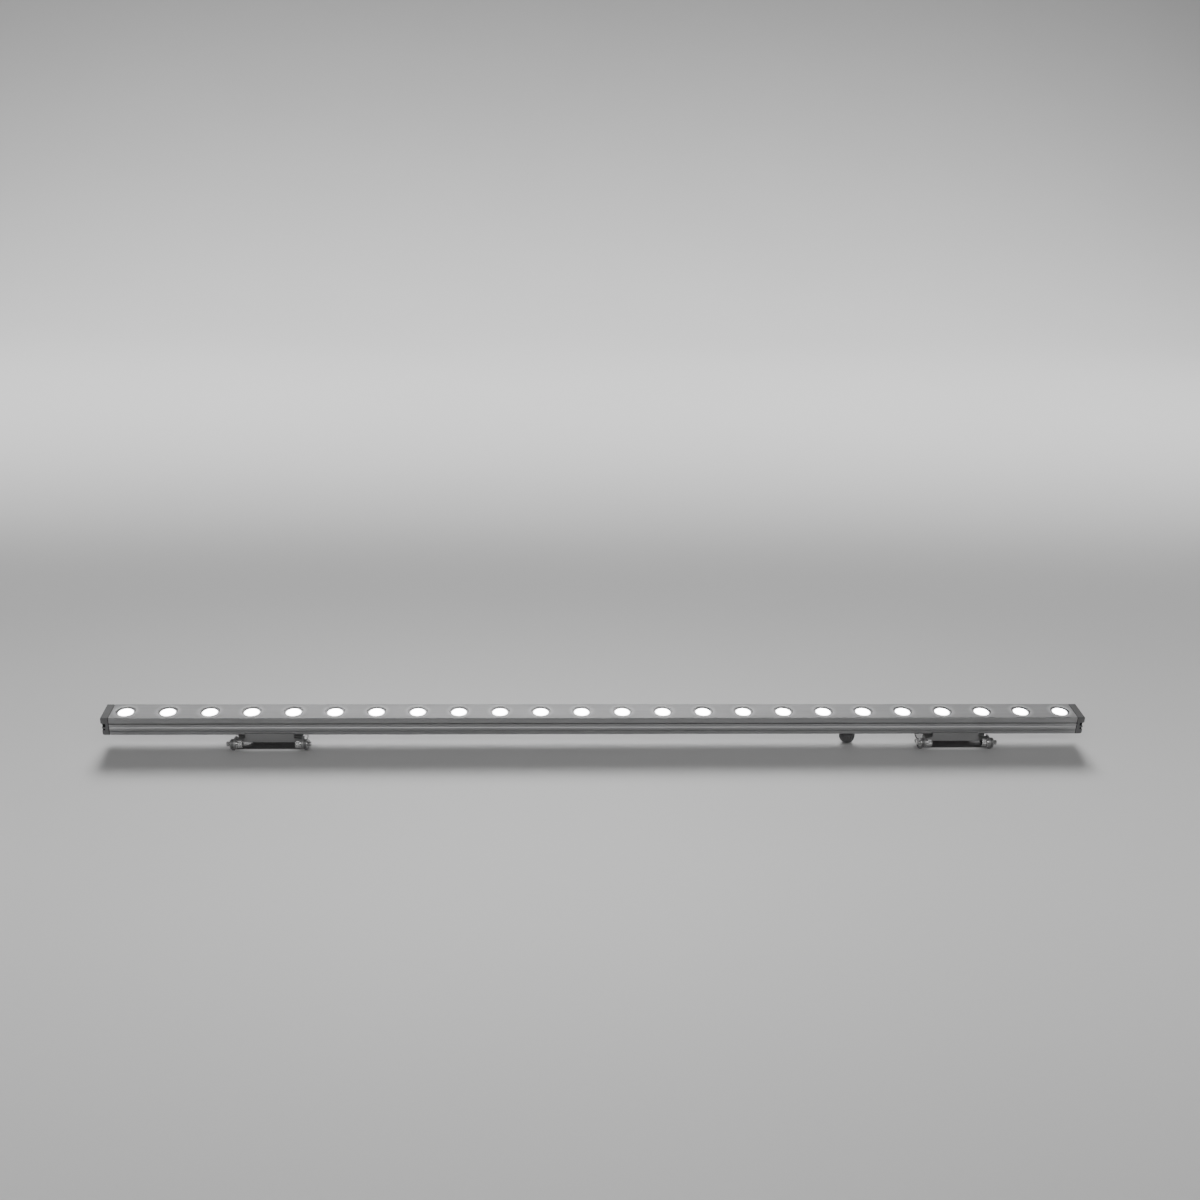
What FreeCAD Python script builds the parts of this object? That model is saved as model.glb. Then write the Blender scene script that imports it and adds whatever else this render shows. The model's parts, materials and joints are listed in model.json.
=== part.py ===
"""LED strip batten: a slim aluminium body with a row of lenses on two tilting, sliding feet.

+X runs along the batten, -Y is the front and +Z is up. The origin is at the middle of the object,
on the surface that the feet stand on. Every size is a cell of the "sizes" sheet, in millimetres.
"""
import FreeCAD, Part
import math
import os
import re
import Sketcher

TINY = 1e-6
SMALL_CUT = 1e-3

SIZES = {
    # the row of lenses
    "led_count": 24, "led_pitch": 41.6, "lens_hole_dia": 19.6, "holder_dia": 19.2, "lens_dia": 16.4,
    "lens_top": 19.4, "lens_crown": 1.4, "lens_rim": 1.4, "lens_foot_dia": 8.0, "lens_foot": 10.4,
    "lens_pocket_dia": 5.6, "lens_pocket": 2.6, "holder_top": 19.0,
    "holder_bore": 16.7, "holder_throat": 14.4,
    "holder_base_bore": 12.0, "holder_lead_in": 0.5, "holder_ledge": 1.2,
    "holder_cone": 4.5, "throat_gap": 0.4,
    # the body: width, height and length, and where it stands
    "housing_length": 984.4, "body_width": 29.4, "body_height": 19.5, "body_y": 5.05, "body_z": 16.5,
    "edge_chamfer": 1.2, "low_groove": 4.4, "low_groove_width": 0.8, "groove_depth": 0.9,
    "vee_top": 9.9, "vee_bottom": 8.2, "vee_depth": 1.1, "vee_lip": 0.3,
    "shoulder": 12.6, "upper_wall": 13.1, "cavity_half": 11.6,
    "cavity_floor": 6.2, "wall_top": 17.6, "snap_height": 15.0, "snap_half": 0.6, "snap_depth": 0.45,
    "slot_mouth": 6.2, "slot_lip": 1.8, "slot_width": 10.4, "slot_depth": 4.0,
    "port_y": 10.4, "port_z": 3.1, "port_dia": 2.5, "port_depth": 15.0,
    # the cover that snaps over the body
    "cover_thick": 1.6, "skirt_bottom": 13.7, "skirt_inner": 13.2, "bead_half": 0.4, "bead_depth": 0.3,
    "cover_radius": 0.6, "seal_width": 1.0,
    # the boards and what is on them
    "board_width": 22.4, "board_thick": 1.6, "board_end_gap": 1.2, "board_joint_gap": 0.6,
    "pad_thick": 0.3, "pad_inset": 1.0, "pad_edge": 0.5, "station_count": 3, "station_step": 4,
    "screw_station": 3, "chip_station": 1,
    "cable_hole_dia": 8.0, "chip_side": 6.0, "chip_thick": 0.9, "emitter_side": 3.5, "emitter_base": 0.7,
    "emitter_dome": 1.3, "emitter_sink": 0.2, "emitter_collar": 0.3, "emitter_shoulder": 0.95,
    "emitter_narrow": 0.91, "emitter_rise": 1.25, "board_screw_y": 7.0,
    "board_screw_length": 5.0, "board_screw_dia": 3.0,
    "board_screw_head": 5.5, "board_screw_head_high": 1.9, "header_x": 6.5, "header_length": 5.0,
    "header_width": 9.0, "header_high": 4.0, "lead_dia": 1.2, "lead_step": 2.4,
    "terminal_x": 249.6, "terminal_length": 14.0, "terminal_width": 4.6, "terminal_y": 4.9,
    "terminal_high": 5.0, "entry_step": 4.4, "entry_rise": 2.0, "entry_dia": 2.4, "entry_depth": 3.2,
    # small gaps, chamfers and allowances
    "thread_gap": 0.05, "fit_gap": 0.1, "hole_gap": 0.3,
    "edge_break": 0.3, "overcut": 1.0, "tap_spare": 0.5,
    "drive_flats": 2.0, "board_drive_depth": 1.1, "cap_drive_depth": 1.4,
    # the end caps
    "gasket_thick": 0.8, "gasket_inset": 0.3, "cap_length": 7.0, "lip_overhang": 0.8, "lip_high": 5.2,
    "cap_chamfer": 1.6, "lip_slope": 0.6, "recess_corner": 0.5, "notch_length": 3.0,
    "spigot_length": 2.4, "spigot_bottom": 8.6, "spigot_top": 17.0, "spigot_half": 11.2,
    "pocket_length": 3.6, "pocket_depth": 2.2, "pocket_top": 13.4, "pocket_bottom": 9.6,
    "notch_top": 7.9, "notch_bottom": 5.9, "cap_screw_dia": 3.0, "cap_screw_head": 5.4,
    "cap_screw_head_high": 2.6, "cap_screw_sunk": 2.2, "cap_screw_length": 12.0,
    # the cable gland
    "gland_x": 255.8, "gland_y": -2.5, "gland_hole_dia": 12.0, "gland_flats": 14.4, "gland_join": 1.0,
    "gland_flange_top": 1.0, "gland_cone": 0.8,
    "gland_flange_bottom": 4.4, "gland_stub_bottom": 11.0, "gland_stub_bore": 9.2, "gland_cable_bore": 7.2,
    "gland_step": 4.0, "seal_dia": 9.0, "seal_bore": 6.2, "seal_top": 5.0, "seal_bottom": 11.4,
    "dome_top": 4.6, "dome_bottom": 14.4, "dome_dia": 16.0, "dome_bore": 12.2, "dome_floor": 12.0,
    "dome_mouth": 7.4, "dome_shoulder": 2.6, "dome_cut": 0.7, "dome_cut_high": 1.0, "dome_face": 2.0,
    "dome_cone": 0.2, "seal_nose": 0.6, "seal_nose_high": 1.0, "ring_centre_dia": 13.2, "ring_section": 1.0,
    # the feet: saddle, foot, pivots and fasteners
    "left_foot_x": -334.6, "right_foot_x": 365.8, "pivot_ahead": 22.0, "pivot_z": 11.0, "saddle_gap": 0.2,
    "saddle_thick": 2.0, "flange_width": 48.4, "flange_drop": 6.5, "lip_rise": 2.7, "saddle_ear_in": 32.7,
    "saddle_ear_out": 34.6, "wing_top": 3.4, "wing_relief": 0.4, "rib_back": 4.0, "bend_radius": 1.5,
    "ear_radius": 5.0, "ear_lean": 1.0, "ear_reach": 4.9,
    "foot_ear_in": 34.9, "foot_ear_out": 37.5, "foot_thick": 2.0, "foot_front": 4.5, "foot_rear": 38.0,
    "foot_ear_slope": 20.0, "foot_ear_heel": 1.0, "foot_ear_shoulder": 3.5, "foot_ear_nose_y": 4.0,
    "foot_ear_nose_z": 3.0, "foot_hole_dia": 5.5, "foot_hole_spacing": 30.0, "foot_hole_y": 22.0,
    "foot_corner": 4.0, "foot_relief": 1.2,
    "bolt_dia": 5.0, "bolt_head_dia": 8.5, "bolt_head_in": 26.0, "bolt_head_out": 31.0, "bolt_end": 42.0,
    "head_chamfer": 0.4, "tip_chamfer": 0.5,
    "socket_flats": 4.0, "socket_depth": 2.5, "washer_dia": 9.4, "washer_out": 32.4, "pivot_gap": 0.05,
    "insert_dia": 6.3, "insert_flange": 8.4, "insert_proud": 0.9,
    "clamp_screw_x": 14.0, "clamp_screw_dia": 4.0, "clamp_head_dia": 7.2,
    "clamp_head_high": 2.4, "clamp_hole_gap": 0.4,
    "slot_nut_length": 14.0, "slot_nut_width": 9.8, "slot_nut_neck": 5.6, "slot_nut_low": 2.05,
    "slot_nut_high": 3.75,
}

doc = FreeCAD.newDocument("led_strip_batten")
sheet = doc.addObject("Spreadsheet::Sheet", "sizes")
for row, (alias, value) in enumerate(SIZES.items(), start=1):
    sheet.set("A%d" % row, alias)
    sheet.set("B%d" % row, "%g" % value)
    sheet.setAlias("B%d" % row, alias)
doc.recompute()

subparts = []


# ---------------------------------------------------------------- helpers

def linked(text):
    """The expression with every alias pointing at the sheet."""
    return re.sub(r"[a-z][a-z_]*", lambda word: "sizes." + word.group(0) if word.group(0) in SIZES
                  else word.group(0), str(text))


def value(text):
    """What an expression comes to now."""
    return float(sheet.evalExpression(linked(text)))


def bind(thing, name, text):
    """Bind one property of an object to an expression of sheet cells."""
    thing.setExpression(name, linked(text))


def place(thing, x="0", y="0", z="0"):
    """Bind a sub-part's place to the sheet."""
    for axis, text in (("x", x), ("y", y), ("z", z)):
        bind(thing, "Placement.Base." + axis, text)


def in_body(thing, x="0"):
    """Place a sub-part whose own Y and Z are measured from the underside of the batten's body."""
    place(thing, x, "body_y", "body_z")


def in_gland(thing):
    """Place a piece of the cable gland, whose own origin is on the gland's axis at the underside."""
    place(thing, "gland_x", "body_y + gland_y", "body_z")


def at_pivot(thing, x):
    """Place a sub-part whose own origin is on the tilt axis, at the middle of its foot."""
    place(thing, x, "body_y - pivot_ahead", "pivot_z")


def body(label):
    """A new PartDesign body, listed as a sub-part."""
    thing = doc.addObject("PartDesign::Body", label)
    thing.Label = label
    thing.AllowCompound = True
    subparts.append(thing)
    return thing


def origin_feature(thing, role):
    """One of a body's own origin planes or axes."""
    return next(feature for feature in thing.Origin.OriginFeatures if feature.Role == role)


def sketch(thing, plane, offset="0"):
    """An empty sketch on one of the body's origin planes, moved along the plane's normal."""
    flat = thing.newObject("Sketcher::SketchObject", thing.Label + "_sketch")
    flat.AttachmentSupport = [(origin_feature(thing, plane), "")]
    flat.MapMode = "FlatFace"
    bind(flat, "AttachmentOffset.Base.z", offset)
    return flat


def pin_point(flat, geometry, position, x, y):
    """Hold one point of a sketch at expressions for its two coordinates."""
    for kind, text in (("DistanceX", x), ("DistanceY", y)):
        index = flat.addConstraint(Sketcher.Constraint(kind, -1, 1, geometry, position, value(text)))
        bind(flat, "Constraints[%d]" % index, text)


def loop(flat, points):
    """A closed outline through points given as pairs of expressions."""
    first = flat.GeometryCount
    count = len(points)
    corners = [FreeCAD.Vector(value(x), value(y), 0) for x, y in points]
    for index in range(count):
        flat.addGeometry(Part.LineSegment(corners[index], corners[(index + 1) % count]), False)
    for index, (x, y) in enumerate(points):
        following = (index + 1) % count
        flat.addConstraint(Sketcher.Constraint("Coincident", first + index, 2, first + following, 1))
        pin_point(flat, first + index, 1, x, y)


def crowned_loop(flat, points, sagitta):
    """An outline whose last side, from the last point to the first, is an arc centred on the axis."""
    first = flat.GeometryCount
    corners = [FreeCAD.Vector(value(x), value(y), 0) for x, y in points]
    reach, rise = corners[-1].x, value(sagitta)
    radius = (reach ** 2 + rise ** 2) / (2 * rise)
    for start, end in zip(corners, corners[1:]):
        flat.addGeometry(Part.LineSegment(start, end), False)
    middle = FreeCAD.Vector(0, corners[0].y - radius, 0)
    crown = Part.Circle(middle, FreeCAD.Vector(0, 0, 1), radius)
    lean = math.acos(reach / radius)
    arc = flat.addGeometry(Part.ArcOfCircle(crown, lean, math.pi / 2), False)
    last = len(points) - 2
    for index in range(last):
        flat.addConstraint(Sketcher.Constraint("Coincident", first + index, 2, first + index + 1, 1))
    flat.addConstraint(Sketcher.Constraint("Coincident", first + last, 2, arc, 1))
    flat.addConstraint(Sketcher.Constraint("Coincident", arc, 2, first, 1))
    flat.addConstraint(Sketcher.Constraint("PointOnObject", arc, 3, -2))
    for index, (x, y) in enumerate(points[:-1]):
        pin_point(flat, first + index, 1, x, y)
    pin_point(flat, arc, 1, *points[-1])


def circle(flat, x, y, diameter):
    """A circle whose centre and diameter are expressions."""
    centre = FreeCAD.Vector(value(x), value(y), 0)
    index = flat.addGeometry(Part.Circle(centre, FreeCAD.Vector(0, 0, 1), value(diameter) / 2), False)
    pin_point(flat, index, 3, x, y)
    rule = flat.addConstraint(Sketcher.Constraint("Diameter", index, value(diameter)))
    bind(flat, "Constraints[%d]" % rule, diameter)


def mirrored(points):
    """Points of one half of an outline, followed by their mirror images in reverse order."""
    return points + [("-(%s)" % x, y) for x, y in reversed(points)]


def rectangle(left, low, right, high):
    """The four corners of a rectangle."""
    return [(left, low), (right, low), (right, high), (left, high)]


def hexagon(flats, x="0", y="0"):
    """The corners of a hexagon with the given width across flats."""
    reach, side = "(%s) / 2 / cos(30)" % flats, "(%s) / 2" % flats
    return [("%s + %s" % (x, reach), y), ("%s + %s / 2" % (x, reach), "%s + %s" % (y, side)),
            ("%s - %s / 2" % (x, reach), "%s + %s" % (y, side)), ("%s - %s" % (x, reach), y),
            ("%s - %s / 2" % (x, reach), "%s - %s" % (y, side)),
            ("%s + %s / 2" % (x, reach), "%s - %s" % (y, side))]


def pad(thing, flat, length, both_ways=False, backwards=False):
    """Push a sketch out into a solid."""
    feature = thing.newObject("PartDesign::Pad", thing.Label + "_pad")
    feature.Profile = flat
    feature.Midplane = both_ways
    feature.Reversed = backwards
    bind(feature, "Length", length)
    return feature


def pocket(thing, flat, length, backwards=False, both_ways=False):
    """Cut a sketch out of the solid, and make sure that it cut something."""
    doc.recompute()
    before = thing.Shape.Volume
    feature = thing.newObject("PartDesign::Pocket", thing.Label + "_pocket")
    feature.Profile = flat
    feature.Midplane = both_ways
    feature.Reversed = backwards
    bind(feature, "Length", length)
    doc.recompute()
    if thing.Shape.Volume > before - SMALL_CUT:
        raise RuntimeError("a pocket in %s cuts nothing" % thing.Label)
    return feature


def turned(thing, plane, axis, points, crown=None):
    """Turn a half outline once round one of the body's axes."""
    flat = sketch(thing, plane)
    if crown is None:
        loop(flat, points)
    else:
        crowned_loop(flat, points, crown)
    feature = thing.newObject("PartDesign::Revolution", thing.Label + "_turned")
    feature.Profile = flat
    feature.ReferenceAxis = (origin_feature(thing, axis), [""])
    feature.Angle = 360
    return feature


def repeat(thing, features, count, step):
    """Repeat features along X."""
    doc.recompute()
    feature = thing.newObject("PartDesign::LinearPattern", thing.Label + "_row")
    feature.Originals = features
    feature.Direction = (origin_feature(thing, "X_Axis"), [""])
    feature.Mode = "Extent"
    bind(feature, "Occurrences", count)
    bind(feature, "Length", "(%s) * (%s - 1)" % (step, count))
    thing.Tip = feature
    doc.recompute()
    return feature


def mirror(thing, features, plane):
    """Mirror features in one of the body's origin planes."""
    doc.recompute()
    feature = thing.newObject("PartDesign::Mirrored", thing.Label + "_mirror")
    feature.Originals = features
    feature.MirrorPlane = (origin_feature(thing, plane), [""])
    thing.Tip = feature
    doc.recompute()
    return feature


def fillet(thing, radius, wanted):
    """Round the edges whose bounding box passes a test."""
    doc.recompute()
    names = ["Edge%d" % (index + 1) for index, edge in enumerate(thing.Shape.Edges)
             if wanted(edge.BoundBox)]
    if not names:
        raise RuntimeError("no edge of %s is rounded" % thing.Label)
    base = thing.Tip
    feature = thing.newObject("PartDesign::Fillet", thing.Label + "_fillet")
    feature.Base = (base, names)
    bind(feature, "Radius", radius)
    thing.Tip = feature
    doc.recompute()


FIRST_LED = "-(led_count - 1) / 2 * led_pitch"


def board_station(side, first, step):
    """How far along a board something stands, in whole LED pitches from the middle of the object."""
    return "%s * (%s + station_step * %d) * led_pitch" % (side, first, step)


# ---------------------------------------------------------------- the batten's body

def make_housing():
    """The extruded body: T-slot below, grooves in its sides, an open channel above."""
    housing = body("housing")
    half = "body_width / 2"
    inset = half + " - groove_depth"
    outline = [
        ("slot_mouth / 2", "0"), (half + " - edge_chamfer", "0"), (half, "edge_chamfer"),
        (half, "low_groove"), (inset, "low_groove"),
        (inset, "low_groove + low_groove_width"), (half, "low_groove + low_groove_width"),
        (half, "vee_bottom"), (half + " - vee_depth", "vee_top - vee_lip"), (half, "vee_top"),
        (half, "shoulder"), ("upper_wall", "shoulder"),
        ("upper_wall", "snap_height - snap_half"), ("upper_wall - snap_depth", "snap_height"),
        ("upper_wall", "snap_height + snap_half"),
        ("upper_wall", "wall_top"), ("cavity_half", "wall_top"), ("cavity_half", "cavity_floor"),
    ]
    slot = [("-(slot_mouth / 2)", "slot_lip"), ("-(slot_width / 2)", "slot_lip"),
            ("-(slot_width / 2)", "slot_depth"), ("slot_width / 2", "slot_depth"),
            ("slot_width / 2", "slot_lip"), ("slot_mouth / 2", "slot_lip")]
    section = sketch(housing, "YZ_Plane")
    loop(section, mirrored(outline) + slot)
    pad(housing, section, "housing_length", both_ways=True)
    gland = sketch(housing, "XY_Plane")
    circle(gland, "gland_x", "gland_y", "gland_hole_dia")
    pocket(housing, gland, "cavity_floor", backwards=True)
    screws = sketch(housing, "XY_Plane", "cavity_floor")
    for side in ("-1", "1"):
        for step in range(SIZES["station_count"]):
            circle(screws, board_station(side, "screw_station", step), "board_screw_y",
                   "board_screw_dia + 2 * thread_gap")
    pocket(housing, screws, "board_screw_length - board_thick - pad_thick + tap_spare")
    for side, backwards in (("", False), ("-", True)):
        ports = sketch(housing, "YZ_Plane", side + "housing_length / 2")
        for sign in ("-", ""):
            circle(ports, sign + "port_y", "port_z", "port_dia")
        pocket(housing, ports, "port_depth", backwards=backwards)
    in_body(housing)


def make_cover():
    """The cover: an inverted channel with a round hole over every lens."""
    cover = body("face_cover")
    half = "body_width / 2"
    section = sketch(cover, "YZ_Plane")
    loop(section, mirrored([
        (half + " - cover_radius", "body_height"), (half, "body_height - cover_radius"),
        (half, "skirt_bottom"), ("skirt_inner", "skirt_bottom"),
        ("skirt_inner", "snap_height - bead_half"), ("skirt_inner - bead_depth", "snap_height"),
        ("skirt_inner", "snap_height + bead_half"), ("skirt_inner", "body_height - cover_thick")]))
    pad(cover, section, "housing_length", both_ways=True)
    hole = sketch(cover, "XY_Plane", "body_height")
    circle(hole, FIRST_LED, "0", "lens_hole_dia")
    holes = pocket(cover, hole, "cover_thick + overcut")
    repeat(cover, [holes], "led_count", "led_pitch")
    in_body(cover)


def make_cover_seals():
    """Two rubber strips between the top of the body's walls and the cover."""
    seals = body("cover_seals")
    section = sketch(seals, "YZ_Plane")
    middle = "(cavity_half + upper_wall) / 2"
    for sign in ("-", ""):
        loop(section, rectangle("%s(%s) - seal_width / 2" % (sign, middle), "wall_top",
                                "%s(%s) + seal_width / 2" % (sign, middle), "body_height - cover_thick"))
    pad(seals, section, "housing_length", both_ways=True)
    in_body(seals)


# ---------------------------------------------------------------- the optics and the boards

def make_lens(index):
    """One lens: a shallow crowned face on a cone that gathers the light."""
    lens = body("lens_%02d" % (index + 1))
    rim = "lens_top - lens_crown"
    turned(lens, "XZ_Plane", "Z_Axis", [
        ("0", "lens_top"), ("0", "lens_foot + lens_pocket"),
        ("lens_pocket_dia / 2", "lens_foot + lens_pocket"),
        ("lens_pocket_dia / 2", "lens_foot"), ("lens_foot_dia / 2", "lens_foot"),
        ("holder_throat / 2 - throat_gap", rim + " - lens_rim"), ("lens_dia / 2", rim + " - lens_rim"),
        ("lens_dia / 2", rim)], crown="lens_crown")
    in_body(lens, "(%d - (led_count - 1) / 2) * led_pitch" % index)


def make_holders():
    """The dark cups that hold the lenses over the boards."""
    holders = body("lens_holders")
    seat = "lens_top - lens_crown - lens_rim - fit_gap"
    cup = turned(holders, "XZ_Plane", "Z_Axis", [
        ("holder_base_bore / 2", "cavity_floor + pad_thick + board_thick"),
        ("holder_dia / 2", "cavity_floor + pad_thick + board_thick"),
        ("holder_dia / 2", "holder_top - edge_break"), ("holder_dia / 2 - edge_break", "holder_top"),
        ("holder_bore / 2 + edge_break", "holder_top"), ("holder_bore / 2", "holder_top - holder_lead_in"),
        ("holder_bore / 2", seat), ("holder_throat / 2", seat),
        ("holder_throat / 2", seat + " - holder_ledge"), ("holder_base_bore / 2", seat + " - holder_cone")])
    repeat(holders, [cup], "led_count", "led_pitch")
    in_body(holders, FIRST_LED)


def make_emitters():
    """The light-emitting diodes: a square base and a clear dome on each."""
    emitters = body("led_emitters")
    bottom = "cavity_floor + pad_thick + board_thick"
    base = sketch(emitters, "XY_Plane", bottom)
    half = "emitter_side / 2"
    loop(base, rectangle("-" + half, "-" + half, half, half))
    square = pad(emitters, base, "emitter_base")
    dome_foot = bottom + " + emitter_base"
    dome = turned(emitters, "XZ_Plane", "Z_Axis", [
        ("0", dome_foot + " - emitter_sink"), ("emitter_dome", dome_foot + " - emitter_sink"),
        ("emitter_dome", dome_foot + " + emitter_collar"),
        ("emitter_narrow", dome_foot + " + emitter_shoulder"), ("0", dome_foot + " + emitter_rise")])
    repeat(emitters, [square, dome], "led_count", "led_pitch")
    in_body(emitters, FIRST_LED)


def make_board(label, side):
    """One of the two aluminium-backed boards, with its screw holes."""
    board = body(label)
    near = "board_joint_gap / 2"
    far = "housing_length / 2 - board_end_gap"
    left, right = (near, far) if side > 0 else ("-(%s)" % far, "-(%s)" % near)
    flat = sketch(board, "XY_Plane", "cavity_floor + pad_thick")
    loop(flat, rectangle(left, "-board_width / 2", right, "board_width / 2"))
    for step in range(SIZES["station_count"]):
        circle(flat, board_station(side, "screw_station", step), "board_screw_y",
               "board_screw_dia + hole_gap")
    if side > 0:
        circle(flat, "gland_x", "gland_y", "cable_hole_dia")
    pad(board, flat, "board_thick")
    in_body(board)


def make_thermal_pads():
    """The heat-conducting pads under the boards."""
    pads = body("thermal_pads")
    flat = sketch(pads, "XY_Plane", "cavity_floor")
    near = "board_joint_gap / 2 + pad_inset"
    far = "housing_length / 2 - board_end_gap - pad_inset"
    edge = "board_screw_y - board_screw_dia / 2 - pad_edge"
    loop(flat, rectangle(near, "-board_width / 2 + pad_edge", far, edge))
    loop(flat, rectangle("-(%s)" % far, "-board_width / 2 + pad_edge", "-(%s)" % near, edge))
    circle(flat, "gland_x", "gland_y", "cable_hole_dia")
    pad(pads, flat, "pad_thick")
    in_body(pads)


def make_chips():
    """The driver chips, in the gaps between lens cups."""
    chips = body("driver_chips")
    flat = sketch(chips, "XY_Plane", "cavity_floor + pad_thick + board_thick")
    for side in ("-1", "1"):
        for step in range(SIZES["station_count"]):
            middle = board_station(side, "chip_station", step)
            loop(flat, rectangle(middle + " - chip_side / 2", "-chip_side / 2",
                                 middle + " + chip_side / 2", "chip_side / 2"))
    pad(chips, flat, "chip_thick")
    in_body(chips)


def make_board_screws():
    """The screws that hold the boards down."""
    screws = body("board_screws")
    top = "cavity_floor + pad_thick + board_thick"
    for side in ("-1", "1"):
        for step in range(SIZES["station_count"]):
            middle = board_station(side, "screw_station", step)
            head = sketch(screws, "XY_Plane", top)
            circle(head, middle, "board_screw_y", "board_screw_head")
            pad(screws, head, "board_screw_head_high")
            shank = sketch(screws, "XY_Plane", top)
            circle(shank, middle, "board_screw_y", "board_screw_dia")
            pad(screws, shank, "board_screw_length", backwards=True)
            drive = sketch(screws, "XY_Plane", top + " + board_screw_head_high")
            loop(drive, hexagon("drive_flats", middle, "board_screw_y"))
            pocket(screws, drive, "board_drive_depth")
    in_body(screws)


def make_board_link():
    """Two headers and three short leads that join the boards."""
    top = "cavity_floor + pad_thick + board_thick"
    headers = body("board_headers")
    flat = sketch(headers, "XY_Plane", top)
    for sign in ("-", ""):
        loop(flat, rectangle(sign + "header_x - header_length / 2", "-header_width / 2",
                             sign + "header_x + header_length / 2", "header_width / 2"))
    pad(headers, flat, "header_high")
    in_body(headers)
    leads = body("board_link_leads")
    flat = sketch(leads, "YZ_Plane")
    for step in ("-1", "0", "1"):
        circle(flat, step + " * lead_step", top + " + header_high / 2", "lead_dia")
    pad(leads, flat, "2 * header_x - header_length", both_ways=True)
    in_body(leads)


def make_terminal():
    """The terminal block where the supply cable ends."""
    terminal = body("supply_terminal")
    flat = sketch(terminal, "XY_Plane", "cavity_floor + pad_thick + board_thick")
    loop(flat, rectangle("-terminal_length / 2", "terminal_y",
                         "terminal_length / 2", "terminal_y + terminal_width"))
    pad(terminal, flat, "terminal_high")
    entries = sketch(terminal, "XZ_Plane", "-terminal_y")
    for step in ("-1", "0", "1"):
        circle(entries, step + " * entry_step", "cavity_floor + pad_thick + board_thick + entry_rise",
               "entry_dia")
    pocket(terminal, entries, "entry_depth")
    in_body(terminal, "terminal_x")


# ---------------------------------------------------------------- the ends

def make_end_cap(label, side):
    """A moulded cap: an overhanging lip above, two recesses in each face and a spigot inside."""
    cap = body(label)
    half = "body_width / 2"
    section = sketch(cap, "YZ_Plane")
    loop(section, mirrored([
        (half + " - edge_chamfer", "0"), (half, "edge_chamfer"), (half, "body_height - cover_radius"),
        (half + " - cover_radius", "body_height")]))
    pad(cap, section, "cap_length")
    spigot = sketch(cap, "YZ_Plane")
    loop(spigot, rectangle("-spigot_half", "spigot_bottom", "spigot_half", "spigot_top"))
    pad(cap, spigot, "spigot_length + gasket_thick", backwards=True)
    face = "cap_length - lip_overhang"
    under = sketch(cap, "XZ_Plane")
    loop(under, [("cap_length + overcut", "-overcut"), ("cap_length + overcut", "body_height - lip_high"),
                 (face, "body_height - lip_high - lip_slope"), (face, "cap_chamfer"),
                 (face + " - cap_chamfer", "0"), (face + " - cap_chamfer", "-overcut")])
    pocket(cap, under, "body_width + 2 * overcut", both_ways=True)
    for low, high, inner in (("pocket_bottom", "pocket_top", "pocket_length"),
                             ("notch_bottom", "notch_top", "notch_length")):
        for sign, backwards in (("", True), ("-", False)):
            recess = sketch(cap, "XZ_Plane", sign + half)
            wall = "%s - %s" % (face, inner)
            loop(recess, [(wall, low + " + recess_corner"), (wall + " + recess_corner", low),
                          (face + " + overcut", low), (face + " + overcut", high),
                          (wall + " + recess_corner", high), (wall, high + " - recess_corner")])
            pocket(cap, recess, "pocket_depth", backwards=not backwards)
    heads = sketch(cap, "YZ_Plane", face)
    shanks = sketch(cap, "YZ_Plane", face)
    for sign in ("-", ""):
        circle(heads, sign + "port_y", "port_z", "cap_screw_head + hole_gap")
        circle(shanks, sign + "port_y", "port_z", "cap_screw_dia + hole_gap")
    pocket(cap, shanks, "cap_length")
    pocket(cap, heads, "cap_screw_sunk")
    turn = FreeCAD.Rotation(FreeCAD.Vector(0, 0, 1), 90 - 90 * side)
    cap.Placement = FreeCAD.Placement(FreeCAD.Vector(), turn)
    in_body(cap, "%d * (housing_length / 2 + gasket_thick)" % side)


def make_end_gaskets():
    """Rubber gaskets between the caps and the body."""
    gaskets = body("end_gaskets")
    half = "body_width / 2 - gasket_inset"
    for sign, backwards in (("", False), ("-", True)):
        flat = sketch(gaskets, "YZ_Plane", sign + "housing_length / 2")
        loop(flat, mirrored([(half + " - edge_chamfer", "gasket_inset"), (half, "edge_chamfer"),
                             (half, "body_height - gasket_inset - cover_radius"),
                             (half + " - cover_radius", "body_height - gasket_inset")]))
        loop(flat, rectangle("-spigot_half - fit_gap", "spigot_bottom - fit_gap",
                             "spigot_half + fit_gap", "spigot_top + fit_gap"))
        for side in ("-", ""):
            circle(flat, side + "port_y", "port_z", "cap_screw_dia + 2 * fit_gap")
        pad(gaskets, flat, "gasket_thick", backwards=backwards)
    in_body(gaskets)


def make_end_cap_screws():
    """Two screws through each cap into the body's screw ports."""
    screws = body("end_cap_screws")
    seat = "housing_length / 2 + gasket_thick + cap_length - lip_overhang - cap_screw_sunk"
    for sign, backwards in (("", False), ("-", True)):
        for side in ("-", ""):
            head = sketch(screws, "YZ_Plane", "%s(%s)" % (sign, seat))
            circle(head, side + "port_y", "port_z", "cap_screw_head")
            pad(screws, head, "cap_screw_head_high", backwards=backwards)
            shank = sketch(screws, "YZ_Plane", "%s(%s)" % (sign, seat))
            circle(shank, side + "port_y", "port_z", "port_dia - 2 * thread_gap")
            pad(screws, shank, "cap_screw_length", backwards=not backwards)
            drive = sketch(screws, "YZ_Plane", "%s(%s + cap_screw_head_high)" % (sign, seat))
            loop(drive, hexagon("drive_flats", side + "port_y", "port_z"))
            pocket(screws, drive, "cap_drive_depth", backwards=backwards)
    in_body(screws)


# ---------------------------------------------------------------- the cable gland

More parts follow.
